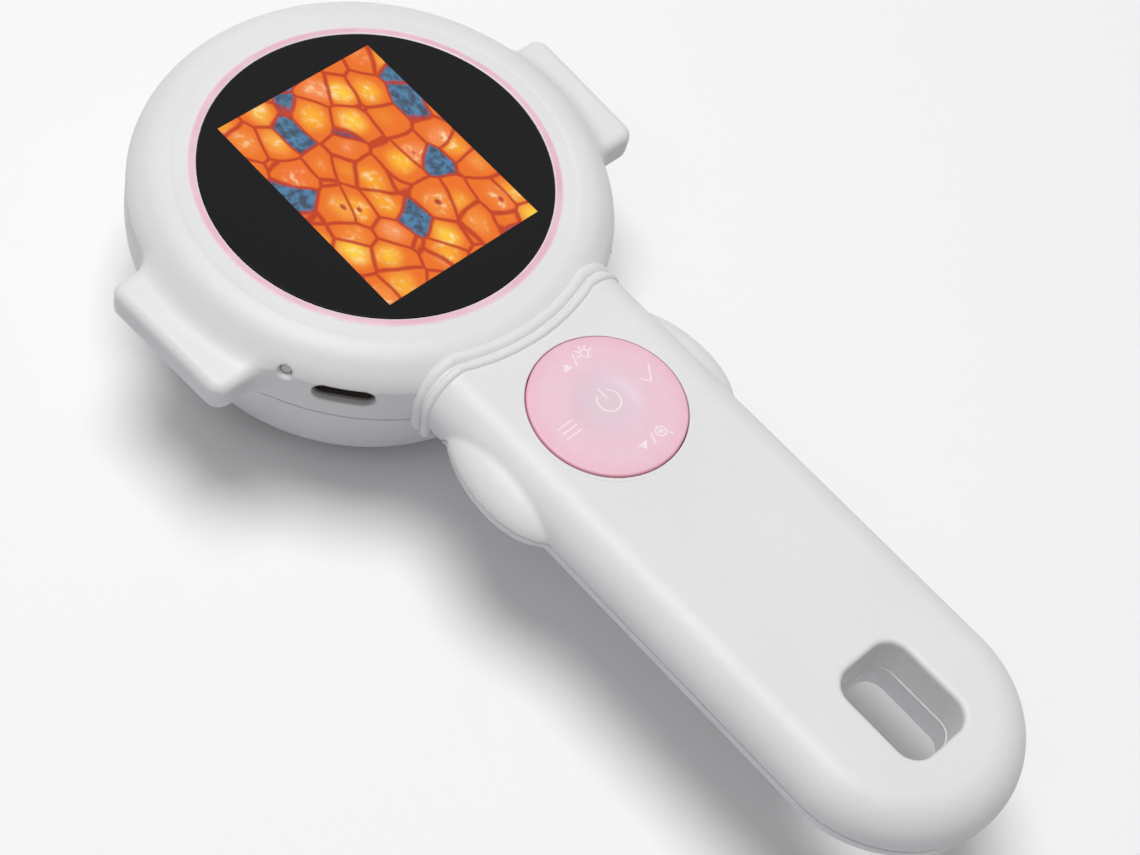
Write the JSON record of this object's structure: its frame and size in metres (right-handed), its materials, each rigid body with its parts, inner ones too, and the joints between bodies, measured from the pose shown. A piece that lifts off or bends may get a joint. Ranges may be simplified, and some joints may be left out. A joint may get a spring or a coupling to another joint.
{
  "type": "handheld digital microscope",
  "caption": "Handheld digital microscope shaped like a hand mirror: round head with a screen, flat handle with keypad and hanging hole, focus ring and light hood at the back.",
  "frame": {"origin": "middle of the footprint, at the level of the light hood's rim", "axes": "+Y along the handle towards the head, +Z out of the screen, +X to the right seen from the screen side with the head up"},
  "size_m": [0.0886, 0.1732, 0.036],
  "materials": {
    "shell": "satin white",
    "pink": "satin pale pink",
    "black_glass": "black printed border, glossy",
    "clear": "clear plastic",
    "lens": "coated",
    "rubber": "matte silicone",
    "board": "solder mask",
    "chip": "moulded black",
    "steel": "plated",
    "foil": "foil",
    "flex": "polyimide",
    "lead_red": "satin",
    "lead_black": "satin",
    "lamp": "phosphor"
  },
  "bodies": {
    "casing": {"battery_cell": "foil", "battery_connector": "chip", "battery_lead_black": "lead_black", "battery_lead_red": "lead_red", "bezel_ring": "pink", "card_socket": "steel", "case_screw_1": "steel", "case_screw_2": "steel", "case_screw_3": "steel", "case_screw_4": "steel", "case_screw_5": "steel", "case_screw_6": "steel", "cover_glass": "black_glass", "diffuser_ring": "clear", "display_flex": "flex", "front_shell": "shell", "guide_screw_1": "steel", "guide_screw_2": "steel", "guide_screw_3": "steel", "image_sensor": "chip", "key_switch_down": "chip", "key_switch_mode": "chip", "key_switch_ok": "chip", "key_switch_power": "chip", "key_switch_up": "chip", "keypad_board": "board", "keypad_ribbon": "flex", "lcd_backlight": "foil", "lcd_panel": "black_glass", "led_1": "lamp", "led_2": "lamp", "led_3": "lamp", "led_4": "lamp", "led_5": "lamp", "led_6": "lamp", "led_board": "board", "lens_guide": "chip", "light_hood": "clear", "main_board": "board", "processor_chip": "chip", "rear_shell": "shell", "reset_switch": "chip", "usb_c_receptacle": "steel"},
    "focus_ring": {"focus_ring": "pink"},
    "lens_group": {"lens_barrel": "chip", "field_lens": "lens", "objective_lens": "lens", "lens_retainer": "chip"},
    "memory_card": {"memory_card": "chip"},
    "reset_plunger": {"reset_plunger": "lead_black"},
    "keypad_mat": {"keypad_mat": "rubber"},
    "keypad_guide": {"keypad_guide": "clear"},
    "keypad_cap": {"keypad_disc": "pink"},
    "key_plunger_power": {"key_plunger_power": "steel"},
    "key_plunger_up": {"key_plunger_up": "steel"},
    "key_plunger_down": {"key_plunger_down": "steel"},
    "key_plunger_ok": {"key_plunger_ok": "steel"},
    "key_plunger_mode": {"key_plunger_mode": "steel"}
  },
  "joints": [
    {"name": "focus_turn", "type": "hinge", "parent": "casing", "child": "focus_ring", "pos_m": [0, 0.0479, 0.011], "axis": [0, 0, 1], "range_deg": [-75, 75]},
    {"name": "lens_slide", "type": "slide", "parent": "casing", "child": "lens_group", "axis": [0, 0, 1], "range_m": [-0.0025, 0.0025]},
    {"name": "card_slide", "type": "slide", "parent": "casing", "child": "memory_card", "axis": [0.7349, -0.6782, 0], "range_m": [0, 0.012]},
    {"name": "reset_press", "type": "slide", "parent": "casing", "child": "reset_plunger", "axis": [-0.8763, -0.4818, 0], "range_m": [-0.00025, 0], "stiffness_N_per_m": 2000},
    {"name": "keypad_press", "type": "slide", "parent": "casing", "child": "keypad_mat", "axis": [0, 0, 1], "range_m": [-0.00025, 0], "stiffness_N_per_m": 2000},
    {"name": "keypad_tilt_side", "type": "hinge", "parent": "keypad_mat", "child": "keypad_guide", "pos_m": [0, -0.0049, 0.03056], "axis": [0, 1, 0], "range_deg": [-1.7, 1.7], "stiffness_Nm_per_rad": 0.3},
    {"name": "keypad_tilt_along", "type": "hinge", "parent": "keypad_guide", "child": "keypad_cap", "pos_m": [0, -0.0049, 0.03056], "axis": [1, 0, 0], "range_deg": [-1.7, 1.7], "stiffness_Nm_per_rad": 0.3},
    {"name": "key_power_travel", "type": "slide", "parent": "casing", "child": "key_plunger_power", "axis": [0, 0, 1], "range_m": [-0.00025, 0]},
    {"name": "key_up_travel", "type": "slide", "parent": "casing", "child": "key_plunger_up", "axis": [0, 0, 1], "range_m": [-0.00025, 0], "stiffness_N_per_m": 2000},
    {"name": "key_down_travel", "type": "slide", "parent": "casing", "child": "key_plunger_down", "axis": [0, 0, 1], "range_m": [-0.00025, 0], "stiffness_N_per_m": 2000},
    {"name": "key_ok_travel", "type": "slide", "parent": "casing", "child": "key_plunger_ok", "axis": [0, 0, 1], "range_m": [-0.00025, 0], "stiffness_N_per_m": 2000},
    {"name": "key_mode_travel", "type": "slide", "parent": "casing", "child": "key_plunger_mode", "axis": [0, 0, 1], "range_m": [-0.00025, 0], "stiffness_N_per_m": 2000}
  ],
  "couplings": [
    {"joint": "lens_slide", "follows": "focus_turn", "m_per_rad": 0.0019098},
    {"joint": "key_power_travel", "follows": "keypad_press", "ratio": 1}
  ]
}
